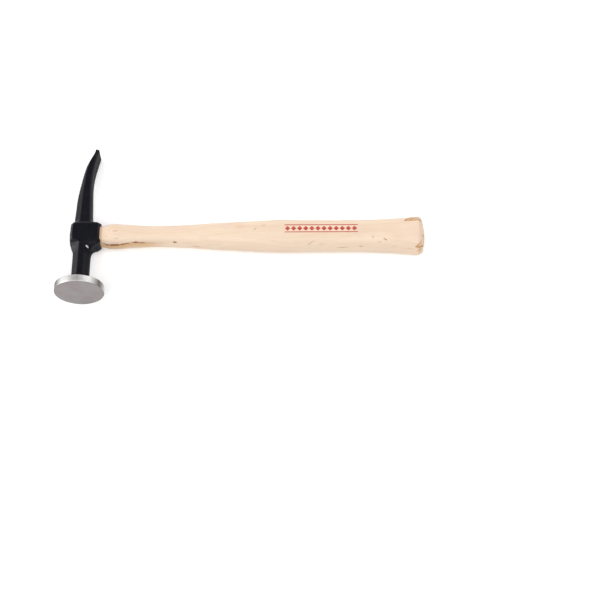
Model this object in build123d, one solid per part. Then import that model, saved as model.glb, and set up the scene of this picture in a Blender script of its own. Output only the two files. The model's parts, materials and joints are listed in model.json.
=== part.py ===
from build123d import *
import os
from math import sqrt

# Body hammer: a one-piece forged steel head (round flat face, octagonal neck, eye and
# curved cross chisel) on a hickory handle, held by one wooden and one steel wedge.
#
# Design frame: origin where the handle's axis crosses the head's axis, +X along the
# handle to the butt, +Y along the head to the chisel, +Z square to the cheek.  The last
# step lays the hammer on its side, as it rests on a bench.  Millimetres.

# ---- striking face and neck
FACE_RADIUS = 20.0
FACE_Y = -51.5
FACE_THICKNESS = 6.2
FACE_EDGE_ROUND = 0.7
FACE_BACK_CHAMFER = 0.5
ROOT_RADIUS = 9.6
ROOT_HEIGHT = 1.6
NECK_HALF = 6.7
NECK_HALF_THICKNESS = 7.0
NECK_CUT_LEFT = (4.8, 4.0)
NECK_CUT_RIGHT = (4.1, 4.0)
NECK_TOP_Y = -19.0
NECK_SUNK_IN_DISC = 1.0

# ---- eye block
CHEEK_HALF = 8.5
BLOCK_RIGHT = 15.1
EYE_CORNER = 3.6
EYE_AT_HANDLE = (12.2, 9.2)
EYE_AT_TOP = (13.4, 10.0)
EYE_CUT_RUN_ON = 2.0

# ---- chisel
TIP_Y = 78.7

# ---- handle
TONGUE_END = -9.0
SHOULDER_SEAT = 1.0
SHOULDER_X = BLOCK_RIGHT - SHOULDER_SEAT
GRIP_X = 180.0
BUTT_X = 271.9
BUTT_BEVEL_LENGTH = 2.6
BUTT_BEVEL_DEPTH = 1.7
BUTT_END = 276.6
BUTT_DOME_RADIUS = 52.0
BUTT_DOME_DROP = 1.6
BUTT_CAP_LENGTH = 6.0

# ---- wedges
WOOD_WEDGE_DEPTH = 19.0
WOOD_WEDGE_THICK = 3.4
WOOD_WEDGE_THIN = 1.2
STEEL_WEDGE_DEPTH = 12.0
STEEL_WEDGE_WIDTH = 8.4
STEEL_WEDGE_THICK = 2.2
STEEL_WEDGE_THIN = 0.6

# Head sections, from the neck up to the chisel's edge.  Each row holds the height y, the
# left and right sides x, the half thickness z, then the chamfers of the left and the
# right corners as (along x, along z).
NECK_FOOT_Y = FACE_Y + FACE_THICKNESS - NECK_SUNK_IN_DISC
NECK = [
    (NECK_FOOT_Y, -NECK_HALF, NECK_HALF, NECK_HALF_THICKNESS, NECK_CUT_LEFT, NECK_CUT_RIGHT),
    (NECK_TOP_Y, -NECK_HALF, NECK_HALF, NECK_HALF_THICKNESS, NECK_CUT_LEFT, NECK_CUT_RIGHT),
]
SWELL = [
    NECK[-1],
    (-16.0, -7.0, 7.0, 7.3, (5.2, 4.0), (3.9, 3.8)),
    (-13.2, -7.9, 7.9, 7.7, (6.2, 4.2), (3.4, 3.4)),
    (-11.0, -8.8, 9.8, 8.0, (7.2, 4.3), (3.0, 3.0)),
    (-9.3, -9.3, 13.4, CHEEK_HALF, (7.8, 4.2), (2.6, 2.6)),
]
BLOCK = [
    SWELL[-1],
    (-8.4, -9.4, 14.4, CHEEK_HALF, (7.6, 4.1), (2.5, 2.6)),
    (-6.4, -9.6, BLOCK_RIGHT, CHEEK_HALF, (2.4, 3.4), (2.4, 2.6)),
    (-1.0, -9.8, BLOCK_RIGHT, CHEEK_HALF, (2.1, 3.0), (2.4, 2.6)),
    (6.6, -9.5, BLOCK_RIGHT, CHEEK_HALF, (2.1, 3.0), (2.4, 2.6)),
]
SADDLE = [
    BLOCK[-1],
    (8.3, -9.4, 14.9, 8.4, (2.3, 3.0), (2.4, 2.6)),
    (9.2, -8.9, 13.8, 7.6, (3.0, 3.0), (2.2, 2.3)),
    (9.9, -8.2, 8.6, 7.2, (4.0, 3.1), (1.6, 1.8)),
    (11.8, -6.8, 6.7, 7.1, (4.5, 3.2), (1.4, 1.6)),
]
BLADE = [
    SADDLE[-1],
    (20.0, -6.5, 6.2, 6.8, (4.5, 3.2), (1.4, 1.6)),
    (31.0, -6.0, 5.6, 6.4, (4.2, 3.0), (1.3, 1.5)),
    (43.0, -4.5, 5.0, 6.3, (3.4, 2.6), (1.1, 1.3)),
    (54.0, -2.4, 5.1, 6.8, (2.3, 2.0), (0.9, 1.1)),
    (62.0, -0.3, 5.9, 7.5, (1.5, 1.4), (0.8, 1.0)),
    (70.0, 3.1, 7.3, 8.2, (0.9, 1.0), (0.9, 1.2)),
    (TIP_Y, 6.7, 9.3, 8.7, (0.4, 0.6), (1.3, 1.5)),
]

# Handle sections, from the shoulder to the butt: station x, half height y, half
# thickness z and corner radius.
HANDLE = [
    (SHOULDER_X, 7.75, 7.2, 4.2),
    (20.0, 8.8, 7.9, 4.6),
    (25.5, 9.2, 8.2, 4.8),
    (32.0, 9.0, 8.0, 5.0),
    (40.0, 8.6, 7.8, 5.2),
    (50.0, 8.2, 7.7, 5.5),
    (62.0, 8.1, 7.7, 5.8),
    (76.0, 8.5, 8.0, 6.2),
    (92.0, 9.4, 8.4, 6.6),
    (110.0, 10.5, 9.0, 7.0),
    (130.0, 11.5, 9.7, 7.5),
    (152.0, 12.6, 10.3, 8.0),
    (176.0, 12.7, 10.6, 8.2),
    (200.0, 12.5, 10.6, 8.2),
    (222.0, 12.5, 10.7, 8.2),
    (242.0, 13.0, 11.0, 8.3),
    (258.0, 13.8, 11.6, 8.5),
    (BUTT_X, 15.0, 12.3, 8.7),
]


def head_section(y, left, right, half, left_cut, right_cut):
    """Eight-sided face across the head at height y."""
    a, b = left_cut
    c, d = right_cut
    corners = [
        (left, y, half - b),
        (left + a, y, half),
        (right - c, y, half),
        (right, y, half - d),
        (right, y, d - half),
        (right - c, y, -half),
        (left + a, y, -half),
        (left, y, b - half),
    ]
    return make_face(Polyline(*corners, close=True))


def lofted(rows, ruled=False):
    """Solid through a run of head sections."""
    return loft([head_section(*row) for row in rows], ruled=ruled)


def striking_disc():
    """Turned disc with its short conical root on the neck."""
    back = FACE_Y + FACE_THICKNESS
    outline = Polyline(
        (0, FACE_Y),
        (FACE_RADIUS, FACE_Y),
        (FACE_RADIUS, back - FACE_BACK_CHAMFER),
        (FACE_RADIUS - FACE_BACK_CHAMFER, back),
        (ROOT_RADIUS, back),
        (NECK_HALF, back + ROOT_HEIGHT),
        (0, back + ROOT_HEIGHT),
        close=True,
    )
    disc = revolve(make_face(outline), Axis.Y)
    front_rim = disc.edges().filter_by(GeomType.CIRCLE).group_by(Axis.Y)[0]
    return fillet(front_rim, FACE_EDGE_ROUND)


def eye_section(x):
    """Rounded face across the eye, which widens towards the wedges."""
    part_way = (SHOULDER_X - x) / (SHOULDER_X - TONGUE_END)
    sizes = [
        tight + part_way * (wide - tight)
        for tight, wide in zip(EYE_AT_HANDLE, EYE_AT_TOP)
    ]
    return Plane.YZ.offset(x) * RectangleRounded(*sizes, EYE_CORNER)


def eye_solid(run_on=0.0):
    """The tapered eye, continued past both its mouths by run_on."""
    return loft([eye_section(TONGUE_END - run_on), eye_section(SHOULDER_X + run_on)])


def hammer_head():
    """Forged head with the eye through it and a shallow seat for the handle's shoulder."""
    body = lofted(NECK, ruled=True)
    body += lofted(SWELL)
    body += lofted(BLOCK, ruled=True)
    body += lofted(SADDLE, ruled=True)
    body += lofted(BLADE)
    body += striking_disc()
    return body - eye_solid(run_on=EYE_CUT_RUN_ON) - grip()


def handle_section(x, half_height, half_thickness, corner):
    """Rounded-rectangle face across the handle at station x."""
    return Plane.YZ.offset(x) * RectangleRounded(2 * half_height, 2 * half_thickness, corner)


def rounded_butt():
    """Bevelled and domed end of the handle."""
    x, half_height, half_thickness, corner = HANDLE[-1]
    foot = handle_section(*HANDLE[-1])
    top = handle_section(
        x + BUTT_BEVEL_LENGTH,
        half_height - BUTT_BEVEL_DEPTH,
        half_thickness - BUTT_BEVEL_DEPTH,
        corner - BUTT_BEVEL_DEPTH,
    )
    bevel = loft([foot, top], ruled=True)
    cap = extrude(top, BUTT_CAP_LENGTH, dir=(1, 0, 0))
    dome = Pos(BUTT_END - BUTT_DOME_RADIUS, -BUTT_DOME_DROP, 0) * Sphere(BUTT_DOME_RADIUS)
    return (bevel + cap) & dome


def grip():
    """Handle from its shoulder to the butt's bevel."""
    return loft([handle_section(*row) for row in HANDLE])


def whole_handle():
    """Handle with its tongue, before the wedges are driven."""
    return grip() + rounded_butt() + eye_solid()


def wedge(depth, width, thick, thin):
    """Wedge driven along +X from the tongue's end: width along y, thickness along z."""
    outline = Polyline(
        (TONGUE_END, -thick / 2),
        (TONGUE_END + depth, -thin / 2),
        (TONGUE_END + depth, thin / 2),
        (TONGUE_END, thick / 2),
        close=True,
    )
    profile = Plane.XZ * make_face(outline)
    return extrude(profile, width / 2, both=True)


def wood_wedge_blank():
    """Wooden wedge along the eye's long side, trimmed to the eye."""
    blank = wedge(WOOD_WEDGE_DEPTH, 2 * EYE_AT_TOP[0], WOOD_WEDGE_THICK, WOOD_WEDGE_THIN)
    return blank & eye_solid()


def steel_wedge():
    """Steel wedge driven across the wooden one."""
    blank = wedge(STEEL_WEDGE_DEPTH, STEEL_WEDGE_WIDTH, STEEL_WEDGE_THICK, STEEL_WEDGE_THIN)
    return Rot(90, 0, 0) * blank


def lay_down(parts):
    """Turn and shift all parts so that the hammer lies on its side on z = 0."""
    heel = Vector(0, FACE_Y + FACE_THICKNESS - FACE_BACK_CHAMFER, -FACE_RADIUS)
    tip = BLADE[-1]
    corner = Vector((tip[1] + tip[2]) / 2, tip[0], -tip[3])
    x, half_height, half_thickness, radius = HANDLE[-1]
    roll = (corner.Z - heel.Z) / (corner.Y - heel.Y)
    lean = 1 / sqrt(1 + roll * roll)
    butt = Vector(
        x,
        half_height - radius + radius * roll * lean,
        radius - half_thickness - radius * lean,
    )
    normal = (corner - heel).cross(butt - heel)
    if normal.Z < 0:
        normal = -normal
    normal = normal.normalized()
    along = (Vector(1, 0, 0) - normal * normal.X).normalized()
    bench = Plane(origin=heel, x_dir=along, z_dir=normal)
    turned = {name: bench.location.inverse() * part for name, part in parts.items()}
    box = Compound(children=list(turned.values())).bounding_box()
    shift = Pos(-box.center().X, -box.center().Y, -box.min.Z)
    placement = shift * bench.location.inverse()
    return {name: placement * part for name, part in parts.items()}, placement


def build():
    """Every separate piece of the hammer, laid down."""
    steel = steel_wedge()
    wood = wood_wedge_blank()
    parts = {
        "hammer_head": hammer_head(),
        "handle": whole_handle() - wood - steel,
        "wood_wedge": wood - steel,
        "steel_wedge": steel,
    }
    return lay_down(parts)


def main():
    os.makedirs("parts", exist_ok=True)
    parts, placement = build()
    for name, part in parts.items():
        export_step(part, f"parts/{name}.step")
    places = {
        "face centre": (0, FACE_Y, 0),
        "chisel edge centre": ((BLADE[-1][1] + BLADE[-1][2]) / 2, TIP_Y, 0),
        "eye axis origin": (0, 0, 0),
        "grip centre": (GRIP_X, 0, 0),
    }
    for name, point in places.items():
        print(name, (placement * Pos(*point)).position)
    for name, way in {"x": (1, 0, 0), "y": (0, 1, 0), "z": (0, 0, 1)}.items():
        turned = (placement * Pos(*way)).position - placement.position
        print("design", name, turned)


main()
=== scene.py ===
import json
import math

import bmesh
import bpy
import numpy as np
from mathutils import Matrix, Vector, noise


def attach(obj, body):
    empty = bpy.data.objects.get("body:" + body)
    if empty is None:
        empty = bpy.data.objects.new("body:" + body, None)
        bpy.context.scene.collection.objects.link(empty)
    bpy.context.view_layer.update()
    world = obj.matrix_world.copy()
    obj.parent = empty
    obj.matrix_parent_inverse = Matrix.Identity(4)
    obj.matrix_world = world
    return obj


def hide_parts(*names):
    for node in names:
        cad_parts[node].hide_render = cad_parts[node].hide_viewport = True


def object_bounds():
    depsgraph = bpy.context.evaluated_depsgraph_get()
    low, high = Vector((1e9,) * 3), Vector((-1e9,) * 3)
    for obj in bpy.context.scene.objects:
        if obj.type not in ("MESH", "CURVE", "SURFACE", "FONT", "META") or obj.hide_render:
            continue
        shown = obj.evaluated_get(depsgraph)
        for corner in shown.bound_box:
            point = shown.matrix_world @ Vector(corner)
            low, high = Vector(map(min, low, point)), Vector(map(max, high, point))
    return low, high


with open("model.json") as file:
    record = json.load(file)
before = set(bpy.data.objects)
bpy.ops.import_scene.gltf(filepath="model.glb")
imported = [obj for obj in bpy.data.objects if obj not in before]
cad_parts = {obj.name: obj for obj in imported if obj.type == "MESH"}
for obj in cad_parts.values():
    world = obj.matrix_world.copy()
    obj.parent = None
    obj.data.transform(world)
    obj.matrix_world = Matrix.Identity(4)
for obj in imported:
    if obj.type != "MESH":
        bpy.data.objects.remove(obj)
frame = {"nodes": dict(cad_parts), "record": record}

# Shapes and marks are worked out in the hammer's own design frame, in millimetres: the origin
# is where the handle's axis crosses the head's axis, +X runs along the handle to the butt, +Y
# along the head to the chisel and +Z out of the cheek.  The frame's mounts give its place.
MM = 0.001
GRIP_X = 180.0
CAD_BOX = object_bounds()

# ---- the camera, in the design frame; its clip distances are in metres
LENS = 90.0
SENSOR = 36.0
CAMERA_TILT = math.radians(27.534)
CAMERA_ROLL = math.radians(0.160)
CAMERA_OFFSET = Vector((-175.94, 51.27, -1216.95))
CAMERA_CLIP = (0.05, 20)

# ---- the head
FACE_RADIUS = 20.0
FACE_Y = -51.5
FACE_THICKNESS = 6.2
FACE_EDGE_ROUND = 0.7
FACE_BACK_CHAMFER = 0.5
DISC_BACK_Y = FACE_Y + FACE_THICKNESS
# The steps of the disc's outline across its face, round the face's edge and along the rim, the
# rings of its back as shares of its radius, and the steps round it.
FACE_STEPS, ROUND_STEPS, RIM_STEPS = 8, 6, 6
BACK_RINGS = (0.8, 0.5, 0)
TURN_STEPS = 360

RIM_FLATS = 22
RIM_FLAT_DEPTH = 0.05
RIM_FLAT_SHIFT = 0.35
# The rim's painted highlights: its mean shade, and the count, strength and start of its bright
# bands, which are painted reflections round the rim and leave its ends darker.
PAINTED_SHEEN_MEAN = 0.655
PAINTED_SHEEN_BANDS = ((6, 0.235, -31.0), (3, 0.19, 0.0))
# The painted dark reflection line across the rim, also a shallow groove in its bump: its angle at y
# = 0, its lean per millimetre and its width.
DARK_LINE_ANGLE, DARK_LINE_LEAN, DARK_LINE_WIDTH = 2.0, 1.14, 1.7

# ---- the head's marks: centres and, for the paint chip, its direction and half sizes; the chip's bare steel stands in for a highlight glint
HOLLOW = (3.4, -8.9, 7.8)
GLINT_CHIP = (4.9, -13.1, 6.6)
GLINT_CHIP_ALONG = (0.80, -0.60, 0.0)
GLINT_CHIP_HALF = (1.25, 0.65)
# Each hollow in the metal: its centre, reach and depth.
HOLLOWS = ((HOLLOW, (2.2, 1.3, 3.0), 0.5), (GLINT_CHIP, (2.4, 1.8, 3.0), 0.25))
# The line down the head's sides where the forging's flash was ground off: its depth, and the
# distances from the middle between which it fades out.
FLASH_DEPTH, FLASH_EDGE = 0.05, (1.6, 1.9)
# The paint stops this far above the disc's back, and its foot reaches this far into the disc.
PAINT_GAP, FOOT_DEPTH = 0.02, 0.6
# How far the forging's surface is let out after the smoothing, so that its outline keeps its size.
FORGING_SWELL = 0.28
# The corner between the neck and the eye block, where the paint is dullest.
CORNER, CORNER_REACH = (11.0, -13.0, -4.0), (8.0, 8.0, 14.0)

# ---- the handle's marks, by station x and angle round the handle: 0 below, 90 at the front
# and 180 above.  The torn line has a strength at each point.
TORN_LINE = (
    (15.5, 17, 0.3), (18.5, 13, 0.6), (20.8, 10, 1.0), (22.2, 12, 0.5), (23.6, 13, 1.3),
    (29.0, 13, 1.3), (30.4, 15, 0.6), (32.5, 17, 0.9), (36.6, 24, 0.6), (40.0, 27, 0.3),
    (43.5, 30, 0.8), (46.0, 27, 0.5), (49.0, 25, 0.6), (53.0, 24, 0.3), (65.0, 24, 0.25),
    (72.8, 28, 0.1), (75.1, 29, 0.8), (77.2, 27, 0.1), (86.9, 27, 0.2), (90.0, 20, 0.0),
)
# Where the torn line's raw wood starts and is full, how far below the line it reaches, where it
# ends and over how long it fades there. Below the line its tan runs down the handle's underside,
# where it is also painted shade.
RAW_START, RAW_AND_SHADE_BELOW = (14, 17), (-7.5, -4.0)
RAW_END, RAW_FADE = 70.0, 22
# How the torn line wanders, how ragged the raw wood's edge is, and the groove's half width: the
# least, and what each unit of strength adds.
TORN_WANDER, TORN_WANDER_SIZE = 0.30, (2.2, 40, 40)
TORN_RAGGED, TORN_RAGGED_SIZE = 0.8, (3.0, 1.2, 1.2)
TORN_WIDTH, TORN_SPREAD = 0.36, 0.78
# Each dent: x, angle, length and width in millimetres, turn in degrees, depth and stain.
DENTS = (
    (26.6, 95, 5.0, 0.9, 3, 0.06, 0.45), (27.4, 52, 6.0, 0.8, -3, 0.06, 0.45),
    (19.6, 64, 1.4, 2.2, 0, 0.05, 0.35), (92.0, 1, 7.0, 0.8, -3, 0.10, 0.65),
    (139.6, 97, 4.6, 1.0, 48, 0.10, 0.45),
    (146.8, 115, 4.0, 0.9, 6, 0.08, 0.45), (184.8, 36, 7.5, 0.9, 32, 0.08, 0.45),
    (194.0, 31, 8.0, 0.8, 4, 0.05, 0.35), (210.5, 14, 10.0, 0.9, 5, 0.10, 0.65),
    (225.0, 20, 4.5, 1.2, 0, 0.08, 0.50),
    (234.6, 56, 1.8, 2.8, 10, 0.06, 0.40), (244.4, 49, 3.6, 1.2, -22, 0.14, 0.65),
    (240.2, 39, 4.0, 1.0, 20, 0.08, 0.40), (252.0, 24, 6.0, 0.7, 8, 0.05, 0.35),
)
# Each chip at the butt is a wedge that opens towards the end: x and angle of its tip, its
# length and its half width at the end in millimetres, its turn in degrees and its depth.
CHIPS = (
    (260.3, 125, 13.5, 5.0, 20, 0.40), (264.0, 128, 9.5, 2.2, 14, 0.60),
    (268.6, 24, 5.0, 2.0, 24, 0.40),
)
CHIP_RAGGED, CHIP_RAGGED_SIZE = 0.45, (3.0, 1.6, 1.6)
CHIP_EDGE = 0.5
# Each tan patch: x, angle, length and width in millimetres, turn in degrees and strength.
PATCHES = (
    (127.6, 111, 8.0, 2.6, 4, 0.5), (213.2, 137, 6.5, 1.6, 0, 0.6),
    (264.3, 15, 5.5, 0.9, 2, 1.0), (272.0, 12, 3.4, 8.0, 0, 1.0),
)
# The flat cuts at the shoulder: their angles, where they end, their slope, how wide each is for
# its depth, and the most that they take off.
SHOULDER_CUTS = (38, 88, 140, 188, 236, 300)
SHOULDER_CUT_END, SHOULDER_CUT_SLOPE = 25.5, 0.060
SHOULDER_CUT_WIDTH, SHOULDER_CUT_MOST = 6.5, 0.5
# Where the handle leaves the eye: no mark before the first x, full marks from the second.
EYE_END = (13.5, 15.0)
# The bruises along the butt's front edge: its x, their width, their size and their threshold.
BUTT_EDGE_X, BUTT_EDGE_WIDTH = 274.6, 0.8
BRUISE_SIZE, BRUISE_LEVEL = (2.0, 1.7, 1.7), (0.18, 0.45)
# How deep each kind of mark goes into the wood.
GROOVE_DEPTH, RAW_DEPTH, OUTLINE_DEPTH, BRUISE_DEPTH = 0.14, 0.10, 0.12, 0.15

# ---- the wood: where the pith lies, as (y, z), how the grain slopes, and the rings
PITH = (15.0, -70.0)
PITH_SLOPE = 0.012
RING_WIDTH = 2.3

# ---- the printed mark on the handle's front
PRINT_START, PRINT_END = 163.5, 222.5
PRINT_MIDDLE, PRINT_HALF = 1.3, 3.3
DIAMOND_STEP, DIAMOND_HALF = 4.9, 2.2
PRINT_LINE = 0.8

# ---- the room's light
ROOM_HORIZON, ROOM_OVERHEAD = 1.45, 0.32
ROOM_FADE = (0.32, 0.76)
ROOM_BRIGHT_WAY = (-0.6, 0.8, 0.0)
ROOM_DARK_SIDE, ROOM_BRIGHT_SIDE = 0.08, 1.0
ROOM_TURN = (-0.9, 0.1)
ROOM_RISE, ROOM_LOW = (0.0, 0.35), 0.65
FLOOR_SHADE, FLOOR_GLOW = 0.92, 0.16

# ---- the lamps, in metres and watts: place, aim, size and power
LAMPS = {
    "left_box": ((-1.68, 0.21, 0.74), (-0.12, 0, 0), (0.9, 0.9), 12.0),
    "right_box": ((1.05, 0.83, 1.15), (-0.12, 0, 0), (0.6, 0.5), 2.3),
    "front_box": ((0.10, -0.70, 1.70), (0, 0, 0), (2.2, 1.2), 32.0),
}
FLOOR_REACH = 4.0

# ---- meshes: the width of the cells and the rounds of smoothing
HEAD_VOXEL, HEAD_ROUNDS = 0.305, 5
HANDLE_VOXEL, HANDLE_ROUNDS = 0.505, 12
WEDGE_VOXEL, WEDGE_ROUNDS = 0.18, 4
WELD = 0.001
# Each round of smoothing moves a point towards its neighbours' mean and then back from it.
SMOOTHING = (0.5, -0.52)
SHARPNESS_ROUNDS = 6
# Unevenness of the surface: the depth and the size of its waves, in millimetres.
FORGING_WAVES = ((0.05, (9, 14, 9)), (0.012, (3, 4, 3)))
WOOD_WAVES = ((0.09, (42, 13, 13)), (0.02, (14, 4, 4)))
FIBRE_DEPTH, FIBRE_SIZE = 0.08, (5.0, 0.9, 0.9)
# The wedges' driven ends: from no dents to full dents along the eye, and their size and depth.
WEDGE_DRIVEN, WEDGE_DENT_SIZE = (7.0, 9.0), (1.4, 1.4, 1.4)
WOOD_WEDGE_DENT, STEEL_WEDGE_DENT = 0.10, 0.12

# ---- colours
PAINT_DEEP, PAINT_PALE = (0.0018, 0.0022, 0.0042, 1), (0.0036, 0.0041, 0.0068, 1)
PAINT_WORN = (0.045, 0.043, 0.042, 1)
PAINT_TINT = (0.96, 0.93, 1.0, 1)
# Bare steel of the paint chip, which also stands in for a highlight glint.
GLINT_CHIP_STEEL = (0.60, 0.59, 0.58, 1)
FACE_BLOOM, FACE_STEEL = (0.230, 0.192, 0.190, 1), (0.272, 0.258, 0.259, 1)
FACE_RINGS, FACE_HAIRS = (0.34, 0.325, 0.32, 1), (0.165, 0.145, 0.142, 1)
RIM_DARKEST, RIM_BRIGHTEST = (0.0, 0.0, 0.0, 1), (1.0, 0.985, 0.97, 1)
RIM_CLOUD, RIM_SPOT = (0.40, 0.39, 0.385, 1), (0.25, 0.22, 0.20, 1)
# Colour of the painted dark reflection line across the rim.
RIM_DARK_REFLECTION = (0.10, 0.06, 0.045, 1)
RIM_EDGE_TINT = (0.45, 0.45, 0.45, 1)
WOOD_PALE, WOOD_YELLOW = (0.71, 0.545, 0.42, 1), (0.725, 0.580, 0.44, 1)
WOOD_PINK, WOOD_EARLY = (0.70, 0.505, 0.41, 1), (0.60, 0.43, 0.29, 1)
WOOD_FIBRE, WOOD_PORE = (0.61, 0.45, 0.32, 1), (0.46, 0.31, 0.19, 1)
END_LATE, END_EARLY = (0.62, 0.45, 0.30, 1), (0.44, 0.28, 0.165, 1)
END_PORE = (0.26, 0.15, 0.08, 1)
# Raw torn wood's colour, also used as painted shade on the handle's underside.
WOOD_RAW_AND_SHADE = (0.62, 0.37, 0.165, 1)
# Amber and brown are stain colours that also carry painted shade: next to the head, and in the torn
# groove.
AMBER_STAIN_AND_SHADE, BROWN_STAIN_AND_SHADE = (0.41, 0.20, 0.065, 1), (0.235, 0.092, 0.022, 1)
INK_RED = (0.42, 0.018, 0.014, 1)
WEDGE_DARK, WEDGE_PALE = (0.34, 0.19, 0.09, 1), (0.60, 0.40, 0.24, 1)
WEDGE_PORE = (0.15, 0.08, 0.04, 1)
DULL_STEEL, SCUFFED_STEEL = (0.36, 0.35, 0.34, 1), (0.55, 0.54, 0.53, 1)
RUST = (0.20, 0.09, 0.045, 1)
WHITE = (1, 1, 1, 1)


def design_to_row(record):
    """Matrix from the design frame, in millimetres, to the row frame, in metres."""
    mounts = {m["name"]: m for m in record["mounts"]}
    x = Vector(mounts["grip"]["axis"]).normalized()
    y = Vector(mounts["chisel_edge"]["axis"]).normalized()
    z = x.cross(y)
    origin = Vector(mounts["grip"]["pos_m"]) - x * GRIP_X * MM
    turn = Matrix((x, y, z)).transposed().to_4x4()
    return Matrix.Translation(origin) @ turn @ Matrix.Scale(MM, 4)


TO_ROW = design_to_row(frame["record"])
TO_DESIGN = TO_ROW.inverted()


# ------------------------------------------------------------------ mesh tools
def welded_node(node):
    """A CAD node's mesh in the design frame, with its split corners joined."""
    mesh = frame["nodes"][node].data.copy()
    mesh.transform(TO_DESIGN)
    work = bmesh.new()
    work.from_mesh(mesh)
    bpy.data.meshes.remove(mesh)
    bmesh.ops.remove_doubles(work, verts=work.verts, dist=WELD)
    return work


def evenly_meshed(work, voxel):
    """The same solid as an even mesh whose cells are about voxel wide."""
    mesh = bpy.data.meshes.new("work")
    work.to_mesh(mesh)
    work.free()
    holder = bpy.data.objects.new("work", mesh)
    bpy.context.scene.collection.objects.link(holder)
    remesh = holder.modifiers.new("Remesh", "REMESH")
    remesh.mode = "VOXEL"
    remesh.voxel_size = voxel
    depsgraph = bpy.context.evaluated_depsgraph_get()
    even = bpy.data.meshes.new_from_object(holder.evaluated_get(depsgraph))
    bpy.data.objects.remove(holder)
    bpy.data.meshes.remove(mesh)
    return even


def points_of(mesh):
    flat = np.empty(len(mesh.vertices) * 3, np.float32)
    mesh.vertices.foreach_get("co", flat)
    return flat.reshape(-1, 3).astype(float)


def set_points(mesh, points):
    mesh.vertices.foreach_set("co", points.astype(np.float32).ravel())
    mesh.update()


def normals_of(mesh):
    flat = np.empty(len(mesh.vertices) * 3, np.float32)
    mesh.vertex_normals.foreach_get("vector", flat)
    return flat.reshape(-1, 3).astype(float)


def edges_of(mesh):
    flat = np.empty(len(mesh.edges) * 2, np.int32)
    mesh.edges.foreach_get("vertices", flat)
    return flat.reshape(-1, 2)


def neighbour_mean(points, edges, degree):
    """Mean of each point's neighbours."""
    total = np.empty_like(points)
    for axis in range(3):
        ahead = np.bincount(edges[:, 0], points[edges[:, 1], axis], len(points))
        behind = np.bincount(edges[:, 1], points[edges[:, 0], axis], len(points))
        total[:, axis] = ahead + behind
    return total / degree[:, None]


def relax(mesh, rounds):
    """Smooths the mesh and nearly keeps its volume."""
    points, edges = points_of(mesh), edges_of(mesh)
    degree = np.bincount(edges.ravel(), minlength=len(points))
    for _ in range(rounds):
        for share in SMOOTHING:
            points += share * (neighbour_mean(points, edges, degree) - points)
    set_points(mesh, points)


def lumps(points, size, seed):
    """Smooth random field from about -1 to 1; size is a lump's width along each axis."""
    shift = np.array((17.3, 5.1, 11.7)) * seed
    return np.array([noise.noise(p) for p in (points / np.array(size) + shift).tolist()])


def unevenness(points, waves):
    """Depth of the surface's waves: each wave's depth and size, in millimetres."""
    return sum(
        depth * (1 + lumps(points, size, seed)) for seed, (depth, size) in enumerate(waves, 1)
    )


def smoothstep(value, low, high):
    t = np.clip((value - low) / (high - low), 0, 1)
    return t * t * (3 - 2 * t)


def sink(mesh, depth):
    """Moves each point in by its own depth, along the surface's normal."""
    set_points(mesh, points_of(mesh) - normals_of(mesh) * depth[:, None])


def add_value(mesh, name, values):
    """Stores one number for each point, for the material to read."""
    mesh.attributes.new(name, "FLOAT", "POINT").data.foreach_set("value", values.astype(np.float32))


def near(points, centre, reach):
    """1 at a centre, fading to 0 about reach away."""
    return np.exp(-np.sum(((points - centre) / reach) ** 2, axis=1))


def finished(name, mesh, node, slot, *materials):
    """Puts a mesh made in the design frame in its place, as a piece that stands for a node.

    The few points that the swelling pushes out of the CAD model's box are clipped to it.
    """
    places = points_of(mesh).astype(np.float32)
    mesh.attributes.new("mm", "FLOAT_VECTOR", "POINT").data.foreach_set("vector", places.ravel())
    mesh.transform(TO_ROW)
    set_points(mesh, np.clip(points_of(mesh), *CAD_BOX))
    mesh.name = name
    for material in materials:
        mesh.materials.append(material)
    mesh.polygons.foreach_set("use_smooth", [True] * len(mesh.polygons))
    piece = bpy.data.objects.new(name, mesh)
    bpy.context.scene.collection.objects.link(piece)
    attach(piece, "root")
    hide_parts(node)


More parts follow.
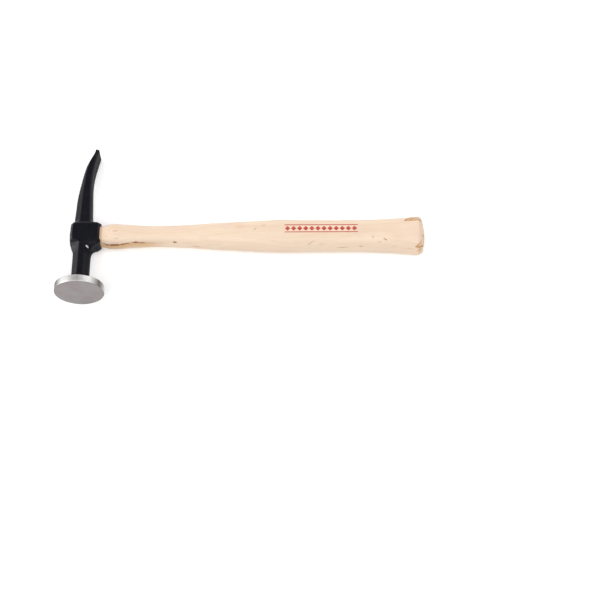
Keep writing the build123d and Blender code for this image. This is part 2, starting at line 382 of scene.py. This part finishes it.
# -------------------------------------------------------------- material tools
class Shader:
    """A material's nodes, with short calls to add and join them."""

    def __init__(self, name):
        self.material = bpy.data.materials.new(name)
        self.material.use_nodes = True
        self.nodes = self.material.node_tree.nodes
        self.links = self.material.node_tree.links
        self.surface = self.nodes["Principled BSDF"]

    def put(self, value, socket):
        """Joins an output to a socket, or sets the socket's own value."""
        if isinstance(value, bpy.types.NodeSocket):
            self.links.new(value, socket)
        else:
            socket.default_value = value

    def add(self, kind, inputs, out=0, **settings):
        """Adds a node, fills its inputs and gives back one of its outputs."""
        made = self.nodes.new("ShaderNode" + kind)
        for key, value in settings.items():
            setattr(made, key, value)
        for key, value in inputs.items():
            self.put(value, made.inputs[key])
        return made.outputs[out]

    def place(self):
        """The point's place in the design frame, in millimetres."""
        return self.add("Attribute", {}, out="Vector", attribute_name="mm")

    def value(self, name):
        """A number that add_value stored for each point."""
        return self.add("Attribute", {}, out="Fac", attribute_name=name)

    def split(self, vector):
        parts = self.nodes.new("ShaderNodeSeparateXYZ")
        self.put(vector, parts.inputs[0])
        return parts.outputs

    def math(self, operation, *values):
        return self.add("Math", dict(enumerate(values)), operation=operation)

    def scaled(self, vector, scale):
        return self.add("VectorMath", {0: vector, 1: scale}, operation="MULTIPLY")

    def noise(self, vector, scale=1.0, detail=2.0, roughness=0.5):
        inputs = {"Vector": vector, "Scale": scale, "Detail": detail, "Roughness": roughness}
        return self.add("TexNoise", inputs)

    def noise_along(self, value, scale, detail=2.0):
        inputs = {"W": value, "Scale": scale, "Detail": detail}
        return self.add("TexNoise", inputs, noise_dimensions="1D")

    def ramp(self, value, low, high, start=0.0, end=1.0):
        inputs = {"Value": value, "From Min": low, "From Max": high, "To Min": start, "To Max": end}
        return self.add("MapRange", inputs, interpolation_type="SMOOTHSTEP")

    def mix(self, factor, a, b):
        return self.add("Mix", {0: factor, 6: a, 7: b}, out=2, data_type="RGBA")

    def bump(self, height, distance, strength):
        """A normal from a height; the distance is in millimetres."""
        inputs = {"Height": height, "Distance": distance * MM, "Strength": strength}
        return self.add("Bump", inputs, out="Normal")

    def finish(self, color, roughness, normal=None, **constants):
        """Joins up the surface; a constant's name has _ where the socket's has a space."""
        self.put(color, self.surface.inputs["Base Color"])
        self.put(roughness, self.surface.inputs["Roughness"])
        if normal is not None:
            self.put(normal, self.surface.inputs["Normal"])
        for name, value in constants.items():
            self.surface.inputs[name.replace("_", " ")].default_value = value
        return self.material


# -------------------------------------------------------------------- the head
def painted_forging():
    """The forging behind the disc: neck, eye block and chisel, with soft forged edges."""
    work = welded_node("hammer_head")
    everything = work.verts[:] + work.edges[:] + work.faces[:]
    cut_y = DISC_BACK_Y + PAINT_GAP
    bmesh.ops.bisect_plane(
        work, geom=everything, plane_co=(0, cut_y, 0), plane_no=(0, 1, 0), clear_inner=True
    )
    rim = [edge for edge in work.edges if edge.is_boundary]
    foot = bmesh.ops.extrude_edge_only(work, edges=rim)["geom"]
    moved = [v for v in foot if isinstance(v, bmesh.types.BMVert)]
    bmesh.ops.translate(work, verts=moved, vec=(0, -FOOT_DEPTH, 0))
    bmesh.ops.holes_fill(work, edges=[edge for edge in work.edges if edge.is_boundary])
    bmesh.ops.recalc_face_normals(work, faces=work.faces)
    mesh = evenly_meshed(work, HEAD_VOXEL)
    relax(mesh, HEAD_ROUNDS)
    points = points_of(mesh)
    side = smoothstep(np.abs(normals_of(mesh)[:, 0]), 0.75, 0.95)
    near_middle = smoothstep(-np.abs(points[:, 2]), -FLASH_EDGE[1], -FLASH_EDGE[0])
    flash_line = FLASH_DEPTH * side * near_middle
    hollow = sum(depth * near(points, centre, reach) for centre, reach, depth in HOLLOWS)
    sink(mesh, unevenness(points, FORGING_WAVES) + flash_line + hollow - FORGING_SWELL)
    # The chip mask: a bare steel spot that stands in for a highlight glint.
    add_value(mesh, "chip", glint_chip_mask(points))
    add_value(mesh, "edge", sharpness(mesh))
    add_value(mesh, "side", side + near(points, CORNER, CORNER_REACH))
    return mesh


def glint_chip_mask(points):
    """1 inside the long chip in the paint below the cheek, fading over a short way; its bare steel
    stands in for a highlight glint.
    """
    along = np.array(GLINT_CHIP_ALONG)
    across = np.cross((0, 0, 1), along)
    offset = points - GLINT_CHIP
    reach = ((offset @ along) / GLINT_CHIP_HALF[0]) ** 2 + ((offset @ across) / GLINT_CHIP_HALF[1]) ** 2
    return smoothstep(-reach, -1.6, -0.4) * (points[:, 2] > 0)


def sharpness(mesh):
    """How far each point stands out from its neighbourhood: high along outer edges."""
    points, edges = points_of(mesh), edges_of(mesh)
    degree = np.bincount(edges.ravel(), minlength=len(points))
    around_it = points
    for _ in range(SHARPNESS_ROUNDS):
        around_it = neighbour_mean(around_it, edges, degree)
    return np.sum((points - around_it) * normals_of(mesh), axis=1)


def disc_outline():
    """Radius and y of the disc's outline, from the face's centre to the back's centre."""
    corner = (FACE_RADIUS - FACE_EDGE_ROUND, FACE_Y + FACE_EDGE_ROUND)
    outline = [(step / FACE_STEPS * corner[0], FACE_Y) for step in range(FACE_STEPS)]
    for step in range(ROUND_STEPS + 1):
        angle = math.radians(90 * step / ROUND_STEPS)
        radius = corner[0] + FACE_EDGE_ROUND * math.sin(angle)
        outline.append((radius, corner[1] - FACE_EDGE_ROUND * math.cos(angle)))
    rim_width = DISC_BACK_Y - FACE_BACK_CHAMFER - corner[1]
    for step in range(1, RIM_STEPS + 1):
        outline.append((FACE_RADIUS, corner[1] + rim_width * step / RIM_STEPS))
    outline.append((FACE_RADIUS - FACE_BACK_CHAMFER, DISC_BACK_Y))
    outline += [(FACE_RADIUS * share, DISC_BACK_Y) for share in BACK_RINGS]
    return outline


def rim_flats(angles):
    """Depth of the slight flats that hand grinding leaves round the rim."""
    seams = np.linspace(0, 2 * math.pi, RIM_FLATS + 1)
    rng = np.random.default_rng(7)
    seams[1:-1] += rng.uniform(-RIM_FLAT_SHIFT, RIM_FLAT_SHIFT, RIM_FLATS - 1) * seams[1]
    place = np.searchsorted(seams, angles, side="right") - 1
    low, high = seams[place], seams[place + 1]
    across = (2 * angles - low - high) / (high - low)
    return RIM_FLAT_DEPTH * (1 - across**2) * rng.uniform(0.3, 1.0, RIM_FLATS)[place]


def lathed(outline, steps):
    """Closed solid turned round the head's axis; each face keeps its outline step's number."""
    work = bmesh.new()
    rings = []
    turns = np.arange(steps) * 2 * math.pi / steps
    depths = rim_flats(turns)
    for radius, y in outline:
        if radius == 0:
            rings.append([work.verts.new((0, y, 0))])
            continue
        reaches = radius - depths * (radius / FACE_RADIUS) ** 12
        places = zip(reaches * np.sin(turns), reaches * np.cos(turns))
        rings.append([work.verts.new((x, y, z)) for x, z in places])
    for step, (near_ring, far_ring) in enumerate(zip(rings, rings[1:])):
        for k in range(steps):
            loop = [near_ring[k % len(near_ring)], near_ring[(k + 1) % len(near_ring)]]
            loop += [far_ring[(k + 1) % len(far_ring)], far_ring[k % len(far_ring)]]
            face = work.faces.new(list(dict.fromkeys(loop)))
            face.material_index = step
    bmesh.ops.recalc_face_normals(work, faces=work.faces)
    return work


def striking_disc():
    """The bare ground disc: its flat face, its rim and its painted back."""
    outline = disc_outline()
    work = lathed(outline, TURN_STEPS)
    for face in work.faces:
        y = outline[face.material_index][1]
        on_face = y < FACE_Y + 0.3 * FACE_EDGE_ROUND
        on_back = y > DISC_BACK_Y - 0.01
        face.material_index = 0 if on_face else 2 if on_back else 1
    mesh = bpy.data.meshes.new("disc")
    work.to_mesh(mesh)
    work.free()
    return mesh


# ------------------------------------------------------------------ the handle
def around(points):
    """Angle round the handle in degrees: 0 below, 90 at the front, 180 above."""
    return np.degrees(np.arctan2(points[:, 2], -points[:, 1]))


def from_spot(points, x, angle):
    """Distances along the handle and round it, in millimetres, from a spot on its surface."""
    turn = (around(points) - angle + 180) % 360 - 180
    radius = np.hypot(points[:, 1], points[:, 2])
    return points[:, 0] - x, np.radians(turn) * radius


def turned(along, across, degrees):
    """Distances along and across a mark that is turned by an angle on the surface."""
    cosine, sine = math.cos(math.radians(degrees)), math.sin(math.radians(degrees))
    return along * cosine + across * sine, across * cosine - along * sine


def torn_grain(points):
    """The line where the grain lifted and tore near the head: its groove and the raw wood, whose
    tan also paints shade on the underside.
    """
    stations, angles, strengths = np.array(TORN_LINE).T
    x = points[:, 0]
    wander = TORN_WANDER * lumps(points, TORN_WANDER_SIZE, seed=3)
    across = from_spot(points, 0, np.interp(x, stations, angles))[1] + wander
    strength = np.interp(x, stations, strengths, left=0, right=0)
    groove = strength * np.exp(-((across / (TORN_WIDTH + TORN_SPREAD * strength)) ** 2))
    ragged = TORN_RAGGED * lumps(points, TORN_RAGGED_SIZE, seed=4)
    # Raw wood below the line, reaching down over the underside: torn wood and painted shade on the
    # handle's lower side.
    below = smoothstep(-across, -0.1, 0.3) * smoothstep(across + ragged, *RAW_AND_SHADE_BELOW)
    reach = smoothstep(x, *RAW_START) * smoothstep(-x, -RAW_END, -RAW_END + RAW_FADE)
    return groove, below * reach


def streak(points, x, angle, length, width, degrees):
    """1 inside a short streak on the handle, fading at its ends and sides."""
    along, across = turned(*from_spot(points, x, angle), degrees)
    return np.exp(-((2 * along / length) ** 4) - (2 * across / width) ** 2)


def dents(points):
    """Depth and stain of the small dents, nicks and mineral streaks."""
    depth, stain = np.zeros(len(points)), np.zeros(len(points))
    for *shape, deep, dark in DENTS:
        mark = streak(points, *shape)
        depth += deep * mark
        stain += dark * mark
    return depth, stain


def butt_chips(points):
    """Depth of the chips at the butt's corners, and the dark outline round them."""
    depth, outline = np.zeros(len(points)), np.zeros(len(points))
    ragged = CHIP_RAGGED * lumps(points, CHIP_RAGGED_SIZE, seed=5)
    for x, angle, length, half_width, degrees, deep in CHIPS:
        along, across = turned(*from_spot(points, x, angle), degrees)
        inside = half_width * along / length - np.abs(across) + ragged
        here = smoothstep(along, -0.6, 0.4) * smoothstep(-along, -length - 2, -length)
        depth = np.maximum(depth, deep * here * smoothstep(inside, 0.0, CHIP_EDGE))
        outline = np.maximum(outline, here * np.exp(-((inside / CHIP_EDGE) ** 2)))
    return depth, outline


def shoulder_cuts(points):
    """Depth of the flat cuts that bring the shoulder down to the eye."""
    depth = np.zeros(len(points))
    back = SHOULDER_CUT_END - points[:, 0]
    for angle in SHOULDER_CUTS:
        across = from_spot(points, 0, angle)[1]
        bulge = (across / SHOULDER_CUT_WIDTH) ** 2 * 0.5
        depth = np.maximum(depth, SHOULDER_CUT_SLOPE * back - bulge)
    return np.clip(depth, 0, SHOULDER_CUT_MOST) * smoothstep(points[:, 0], 14.0, 15.5)


def rim_wear(points):
    """Small dark bruises along the butt's front edge."""
    at_edge = np.exp(-(((points[:, 0] - BUTT_EDGE_X) / BUTT_EDGE_WIDTH) ** 2))
    spots = lumps(points, BRUISE_SIZE, seed=6)
    return at_edge * smoothstep(spots, *BRUISE_LEVEL)


def handle_mesh():
    """The handle with its marks; the part inside the eye gets none."""
    mesh = evenly_meshed(welded_node("handle"), HANDLE_VOXEL)
    relax(mesh, HANDLE_ROUNDS)
    points = points_of(mesh)
    outside = smoothstep(points[:, 0], *EYE_END)
    groove, raw = torn_grain(points)
    dent, stain = dents(points)
    chip, chip_outline = butt_chips(points)
    bruises = rim_wear(points)
    fibres = FIBRE_DEPTH * raw * (1 + lumps(points, FIBRE_SIZE, seed=7))
    depth = unevenness(points, WOOD_WAVES) + shoulder_cuts(points)
    depth = depth + GROOVE_DEPTH * groove + RAW_DEPTH * raw + fibres
    depth += dent + chip + OUTLINE_DEPTH * chip_outline + BRUISE_DEPTH * bruises
    tan = sum(strength * streak(points, *shape) for *shape, strength in PATCHES)
    end_grain = smoothstep(np.abs(normals_of(mesh)[:, 0]), 0.80, 0.95)
    sink(mesh, outside * depth)
    # Brown in the torn groove is a stain and also painted shade in the crevice; the dents add their
    # stains.
    add_value(mesh, "brown", outside * np.clip(groove + 0.5 * stain, 0, 1))
    # Painted shade on the wood just where it leaves the eye, next to the head.
    painted_shade_at_head = 0.35 * smoothstep(-points[:, 0], -16.6, -15.2)
    amber = 0.9 * chip_outline + 0.8 * stain + 0.6 * bruises + painted_shade_at_head
    add_value(mesh, "amber", outside * np.clip(amber, 0, 1))
    add_value(mesh, "raw", outside * np.clip(raw + tan + 0.5 * smoothstep(chip, 0.1, 0.3), 0, 1))
    add_value(mesh, "end", end_grain)
    return mesh


def wedge_mesh(node, dent):
    """A wedge whose driven end is dented by the hammer that drove it."""
    mesh = evenly_meshed(welded_node(node), WEDGE_VOXEL)
    relax(mesh, WEDGE_ROUNDS)
    points = points_of(mesh)
    driven = smoothstep(-points[:, 0], *WEDGE_DRIVEN)
    sink(mesh, dent * driven * (1 + lumps(points, WEDGE_DENT_SIZE, seed=8)))
    return mesh


# ------------------------------------------------------------------- materials
def black_paint():
    """Semi-gloss black on a forged surface: orange peel, thin edges and one bare chip that stands
    in for a highlight glint.
    """
    s = Shader("black_paint")
    place = s.place()
    cloud = s.noise(place, scale=0.25, detail=3)
    peel = s.noise(place, scale=1.3, detail=2)
    dust = s.noise(place, scale=4.0, detail=3, roughness=0.7)
    height = s.math("ADD", peel, s.math("MULTIPLY", cloud, 2.0))
    color = s.mix(cloud, PAINT_DEEP, PAINT_PALE)
    thin = s.math("MULTIPLY", s.ramp(s.value("edge"), 0.16, 0.32), s.ramp(dust, 0.50, 0.68))
    color = s.mix(s.math("MULTIPLY", thin, 0.25), color, PAINT_WORN)
    # Bare steel in the chip below the cheek: a chip in the paint that also stands in for a
    # highlight glint.
    glint_chip = s.ramp(s.math("ADD", s.value("chip"), s.math("MULTIPLY", dust, 0.5)), 0.70, 0.80)
    color = s.mix(glint_chip, color, GLINT_CHIP_STEEL)
    dull = s.math("MULTIPLY", s.math("ADD", s.value("side"), s.math("MULTIPLY", glint_chip, 0.8)), 0.35)
    roughness = s.math("ADD", s.ramp(cloud, 0.3, 0.7, 0.27, 0.37), dull)
    s.put(glint_chip, s.surface.inputs["Metallic"])
    height = s.math("SUBTRACT", height, s.math("MULTIPLY", glint_chip, 1.5))
    s.surface.inputs["Specular Tint"].default_value = PAINT_TINT
    normal = s.bump(height, distance=0.05, strength=0.5)
    return s.finish(color, roughness, normal, Specular_IOR_Level=0.19)


def ground_face():
    """The flat striking face: fine concentric grinding, a dull bloom and light scratches."""
    s = Shader("steel_face")
    place = s.place()
    x, _, z = s.split(place)
    radius = s.math("SQRT", s.math("ADD", s.math("MULTIPLY", x, x), s.math("MULTIPLY", z, z)))
    rings = s.noise_along(radius, 5.0, 4)
    cloud = s.noise(place, scale=0.11, detail=3)
    hairs = s.noise(s.scaled(place, (0.25, 1, 5.0)), scale=0.8, detail=4, roughness=0.7)
    color = s.mix(s.ramp(cloud, 0.3, 0.7), FACE_BLOOM, FACE_STEEL)
    color = s.mix(s.ramp(rings, 0.35, 0.7, 0, 0.30), color, FACE_RINGS)
    color = s.mix(s.ramp(hairs, 0.50, 0.72, 0, 0.55), color, FACE_HAIRS)
    rough = s.ramp(cloud, 0.3, 0.7, 0.38, 0.48)
    height = s.math("ADD", rings, s.math("MULTIPLY", hairs, 0.6))
    return s.finish(color, rough, s.bump(height, distance=0.02, strength=0.5), Metallic=1.0)


def painted_sheen(s, turn):
    """How bright the rim is at an angle in degrees: bands of painted highlight round it, darker
    between them.
    """
    shade = PAINTED_SHEEN_MEAN
    for count, strength, start in PAINTED_SHEEN_BANDS:
        angle = s.math("RADIANS", s.math("MULTIPLY", s.math("SUBTRACT", turn, start), count))
        wave = s.math("MULTIPLY", s.math("COSINE", angle), strength)
        shade = s.math("ADD", wave, shade)
    return shade


def ground_rim():
    """The disc's ground rim: painted highlight bands, fine lines round it, a few dark marks and a
    painted dark reflection line.
    """
    s = Shader("steel_rim")
    place = s.place()
    x, y, z = s.split(place)
    wobble = s.noise(s.scaled(place, (0.08, 0.08, 0.08)), detail=1)
    lines = s.noise_along(s.math("ADD", y, wobble), 7.0, 4)
    cloud = s.noise(s.scaled(place, (0.5, 0.12, 0.5)), detail=3)
    spots = s.noise(s.scaled(place, (0.55, 0.10, 0.55)), scale=1.0, detail=2)
    turn = s.math("DEGREES", s.math("ARCTAN2", x, z))
    # The rim's colour follows the painted highlight bands round it.
    color = s.mix(painted_sheen(s, turn), RIM_DARKEST, RIM_BRIGHTEST)
    color = s.mix(s.ramp(cloud, 0.3, 0.7, 0.22, 0.0), color, RIM_CLOUD)
    color = s.mix(s.ramp(spots, 0.68, 0.74, 0, 0.4), color, RIM_SPOT)
    # A painted dark reflection line across the rim, leaning along it; the bump also sinks it a
    # little.
    leaning = s.math("ADD", turn, s.math("MULTIPLY", y, DARK_LINE_LEAN))
    off_dark_line = s.math("ABSOLUTE", s.math("SUBTRACT", leaning, DARK_LINE_ANGLE))
    dark_line = s.ramp(off_dark_line, DARK_LINE_WIDTH, 0.3 * DARK_LINE_WIDTH)
    color = s.mix(s.math("MULTIPLY", dark_line, 0.85), color, RIM_DARK_REFLECTION)
    rough = s.ramp(lines, 0.3, 0.7, 0.38, 0.48)
    height = s.math("SUBTRACT", lines, s.math("MULTIPLY", dark_line, 3.0))
    grain = s.add("Tangent", {}, direction_type="RADIAL", axis="Y")
    s.put(grain, s.surface.inputs["Tangent"])
    s.surface.inputs["Specular Tint"].default_value = RIM_EDGE_TINT
    normal = s.bump(height, distance=0.035, strength=0.8)
    return s.finish(color, rough, normal, Metallic=1.0, Anisotropic=0.8)


def growth_rings(s, place):
    """Distance from the tree's pith, in rings, wavering along the grain."""
    wave = s.noise(s.scaled(place, (0.008, 0.05, 0.05)), detail=2)
    x, y, z = s.split(place)
    across = s.math("ADD", s.math("ADD", y, -PITH[0]), s.math("MULTIPLY", x, PITH_SLOPE))
    deep = s.math("ADD", z, -PITH[1])
    squares = s.math("ADD", s.math("MULTIPLY", across, across), s.math("MULTIPLY", deep, deep))
    radius = s.math("ADD", s.math("SQRT", squares), s.math("MULTIPLY", wave, 9.0))
    return s.math("DIVIDE", radius, RING_WIDTH)


def hickory():
    """Pale sanded hickory: rings, pores, coloured patches, raw torn grain, chips and print, with
    painted shade under the handle, in the torn groove and next to the head.
    """
    s = Shader("hickory")
    place = s.place()
    rings = growth_rings(s, place)
    phase = s.math("FRACT", rings)
    early = s.math("MULTIPLY", s.ramp(phase, 0.0, 0.12), s.ramp(phase, 0.50, 0.14))
    patches = s.noise(s.scaled(place, (0.014, 0.055, 0.055)), detail=2)
    pink = s.noise(s.scaled(place, (0.022, 0.09, 0.09)), scale=1.3, detail=3)
    fibre = s.noise(s.scaled(place, (0.05, 2.2, 2.2)), detail=4, roughness=0.6)
    pores = s.noise(s.scaled(place, (0.14, 4.2, 4.2)), detail=2)
    end_pores = s.noise(s.scaled(place, (0.02, 3.6, 3.6)), detail=1)
    color = s.mix(s.ramp(patches, 0.35, 0.65), WOOD_PALE, WOOD_YELLOW)
    color = s.mix(s.ramp(pink, 0.50, 0.68, 0, 0.50), color, WOOD_PINK)
    color = s.mix(s.ramp(early, 0, 1, 0, 0.16), color, WOOD_EARLY)
    color = s.mix(s.ramp(fibre, 0.35, 0.75, 0, 0.32), color, WOOD_FIBRE)
    pore = s.math("MULTIPLY", s.ramp(pores, 0.60, 0.72), s.ramp(early, 0, 1, 0.25, 1.0))
    color = s.mix(s.math("MULTIPLY", pore, 0.40), color, WOOD_PORE)
    return finish_hickory(s, color, fibre, pore, early, end_pores)


def finish_hickory(s, color, fibre, pore, early, end_pores):
    """Adds the end grain, the torn wood, the stains, the painted shade and the print, and joins it
    all up.
    """
    place = s.place()
    ragged = s.noise(s.scaled(place, (0.35, 1.4, 1.4)), scale=1.6, detail=3)
    end = s.value("end")
    end_color = s.mix(early, END_LATE, END_EARLY)
    dots = s.ramp(end_pores, 0.58, 0.68)
    end_color = s.mix(s.math("MULTIPLY", dots, 0.6), end_color, END_PORE)
    color = s.mix(s.math("MULTIPLY", end, 0.85), color, end_color)
    raw = s.math("MULTIPLY", s.value("raw"), s.ramp(ragged, 0.25, 0.55, 0.55, 1.0))
    # Raw torn wood, which also paints shade on the handle's underside near the head.
    color = s.mix(s.math("MULTIPLY", raw, 0.82), color, WOOD_RAW_AND_SHADE)
    amber = frayed(s, "amber", ragged)
    # Amber for stains, chip outlines and bruises, and the painted shade next to the head.
    color = s.mix(s.math("MULTIPLY", amber, 0.9), color, AMBER_STAIN_AND_SHADE)
    # Brown stain, with painted crevice shade along the torn groove.
    brown = frayed(s, "brown", ragged)
    color = s.mix(s.math("MULTIPLY", brown, 0.96), color, BROWN_STAIN_AND_SHADE)
    cover = s.ramp(s.math("ADD", fibre, pore), 0.95, 0.5, 0.45, 1)
    ink = s.math("MULTIPLY", printed_mark(s), cover)
    color = s.mix(s.math("MULTIPLY", ink, 0.96), color, INK_RED)
    roughness = s.math("ADD", s.ramp(fibre, 0.3, 0.7, 0.42, 0.54), s.math("MULTIPLY", end, 0.2))
    roughness = s.math("ADD", roughness, s.math("MULTIPLY", raw, 0.25))
    height = s.math("SUBTRACT", s.math("MULTIPLY", fibre, 0.7), pore)
    height = s.math("SUBTRACT", height, s.math("MULTIPLY", s.math("MULTIPLY", dots, end), 2.0))
    height = s.math("ADD", height, s.math("MULTIPLY", s.math("MULTIPLY", ragged, raw), 3.0))
    normal = s.bump(height, distance=0.06, strength=0.5)
    return s.finish(color, roughness, normal, Specular_IOR_Level=0.4)


def frayed(s, name, ragged):
    """A stored mark with its edge broken up by the grain."""
    value = s.math("ADD", s.value(name), s.math("MULTIPLY", s.math("SUBTRACT", ragged, 0.5), 0.6))
    return s.math("MULTIPLY", s.ramp(value, 0.08, 0.50), s.ramp(s.value(name), 0.02, 0.15))


def printed_mark(s):
    """A plain geometric mark: a row of diamonds between two thin lines, on the front only."""
    x, y, z = s.split(s.place())
    along = s.math("SUBTRACT", x, PRINT_START)
    beside = s.math("ABSOLUTE", s.math("SUBTRACT", y, PRINT_MIDDLE))
    step = s.math("FRACT", s.math("DIVIDE", along, DIAMOND_STEP))
    offset = s.math("MULTIPLY", s.math("ABSOLUTE", s.math("SUBTRACT", step, 0.5)), DIAMOND_STEP)
    diamond = s.ramp(s.math("ADD", offset, beside), DIAMOND_HALF + 0.12, DIAMOND_HALF - 0.12)
    off_line = s.math("ABSOLUTE", s.math("SUBTRACT", beside, PRINT_HALF))
    line = s.ramp(off_line, PRINT_LINE / 2 + 0.1, PRINT_LINE / 2 - 0.1)
    mark = s.math("MAXIMUM", diamond, line)
    for edge in (
        s.math("GREATER_THAN", along, 0.0),
        s.math("LESS_THAN", x, PRINT_END),
        s.math("GREATER_THAN", z, 0.0),
    ):
        mark = s.math("MULTIPLY", mark, edge)
    return mark


def wedge_wood():
    """The wooden wedge's end: darker hardwood, rough sawn."""
    s = Shader("wedge_wood")
    place = s.place()
    grain = s.noise(s.scaled(place, (0.3, 2.0, 3.0)), detail=3)
    pores = s.noise(s.scaled(place, (0.3, 5.0, 5.0)), detail=2)
    color = s.mix(grain, WEDGE_DARK, WEDGE_PALE)
    color = s.mix(s.ramp(pores, 0.58, 0.70, 0, 0.6), color, WEDGE_PORE)
    return s.finish(color, 0.65, s.bump(s.math("ADD", grain, pores), distance=0.08, strength=0.6))


def wedge_steel():
    """The steel wedge's hammered end: dull, dented and a little rusted."""
    s = Shader("wedge_steel")
    place = s.place()
    dint = s.noise(place, scale=1.1, detail=3)
    rust = s.noise(place, scale=2.3, detail=4, roughness=0.65)
    color = s.mix(dint, DULL_STEEL, SCUFFED_STEEL)
    color = s.mix(s.ramp(rust, 0.55, 0.70, 0, 0.7), color, RUST)
    rough = s.ramp(rust, 0.45, 0.70, 0.32, 0.65)
    return s.finish(color, rough, s.bump(dint, distance=0.15, strength=0.6), Metallic=0.9)


# ----------------------------------------------------------------------- stage
def camera():
    data = bpy.data.cameras.new("camera")
    data.lens, data.sensor_width = LENS, SENSOR
    made = bpy.data.objects.new("camera", data)
    bpy.context.scene.collection.objects.link(made)
    turn = Matrix.Rotation(CAMERA_ROLL, 4, "Z") @ Matrix.Rotation(-CAMERA_TILT, 4, "X")
    seen = Matrix.Translation(CAMERA_OFFSET) @ turn
    place = TO_ROW @ seen.inverted()
    made.matrix_world = Matrix.LocRotScale(place.translation, place.to_quaternion(), None)
    data.clip_start, data.clip_end = CAMERA_CLIP
    bpy.context.scene.camera = made


def softbox(name, at, aim, size, power):
    data = bpy.data.lights.new(name, "AREA")
    data.shape = "RECTANGLE"
    data.size, data.size_y = size
    data.energy = power
    made = bpy.data.objects.new(name, data)
    bpy.context.scene.collection.objects.link(made)
    made.location = at
    made.rotation_mode = "QUATERNION"
    made.rotation_quaternion = (Vector(aim) - Vector(at)).to_track_quat("-Z", "Y")


def floor():
    """A plain pale floor that glows faintly, so that the shadows on it stay light."""
    mesh = bpy.data.meshes.new("floor")
    far = FLOOR_REACH
    corners = [(-far, -far, 0), (far, -far, 0), (far, far, 0), (-far, far, 0)]
    mesh.from_pydata(corners, [], [(0, 1, 2, 3)])
    s = Shader("floor")
    glow = {"Emission_Color": WHITE, "Emission_Strength": FLOOR_GLOW}
    s.finish((FLOOR_SHADE, FLOOR_SHADE, FLOOR_SHADE, 1), 0.9, Specular_IOR_Level=0.0, **glow)
    mesh.materials.append(s.material)
    made = bpy.data.objects.new("floor", mesh)
    bpy.context.scene.collection.objects.link(made)


def studio():
    """A soft room: bright round the horizon, most of all behind and to the left, and darker
    overhead and to the right."""
    world = bpy.data.worlds.new("studio")
    bpy.context.scene.world = world
    world.use_nodes = True
    nodes, links = world.node_tree.nodes, world.node_tree.links

    def node(kind, inputs, **settings):
        made = nodes.new("ShaderNode" + kind)
        for key, value in settings.items():
            setattr(made, key, value)
        for key, value in inputs.items():
            if isinstance(value, bpy.types.NodeSocket):
                links.new(value, made.inputs[key])
            else:
                made.inputs[key].default_value = value
        return made.outputs

    way = node("TexCoord", {})["Generated"]
    height = node("SeparateXYZ", {0: way})["Z"]
    fade = {"Value": height, "From Min": ROOM_FADE[0], "From Max": ROOM_FADE[1]}
    level = node("MapRange", {**fade, "To Min": ROOM_HORIZON, "To Max": ROOM_OVERHEAD})[0]
    side = node("VectorMath", {0: way, 1: ROOM_BRIGHT_WAY}, operation="DOT_PRODUCT")["Value"]
    turn = {"Value": side, "From Min": ROOM_TURN[0], "From Max": ROOM_TURN[1]}
    share = node("MapRange", {**turn, "To Min": ROOM_DARK_SIDE, "To Max": ROOM_BRIGHT_SIDE})[0]
    rise = {"Value": height, "From Min": ROOM_RISE[0], "From Max": ROOM_RISE[1]}
    low = node("MapRange", {**rise, "To Min": ROOM_LOW, "To Max": 1.0})[0]
    strength = node("Math", {0: level, 1: share}, operation="MULTIPLY")[0]
    strength = node("Math", {0: strength, 1: low}, operation="MULTIPLY")[0]
    background = nodes["Background"]
    background.inputs["Color"].default_value = WHITE
    links.new(strength, background.inputs["Strength"])
    for name, settings in LAMPS.items():
        softbox(name, *settings)


def main():
    paint = black_paint()
    wood = wedge_mesh("wood_wedge", WOOD_WEDGE_DENT)
    steel = wedge_mesh("steel_wedge", STEEL_WEDGE_DENT)
    finished("head_forging", painted_forging(), "hammer_head", "black_paint", paint)
    disc_materials = (ground_face(), ground_rim(), paint)
    finished("striking_disc", striking_disc(), "hammer_head", "bare_steel", *disc_materials)
    finished("handle_wood", handle_mesh(), "handle", "hickory", hickory())
    finished("wood_wedge_end", wood, "wood_wedge", "wedge_wood", wedge_wood())
    finished("steel_wedge_end", steel, "steel_wedge", "bare_steel", wedge_steel())
    floor()
    studio()
    camera()
    bpy.context.scene.view_settings.view_transform = "Standard"


main()
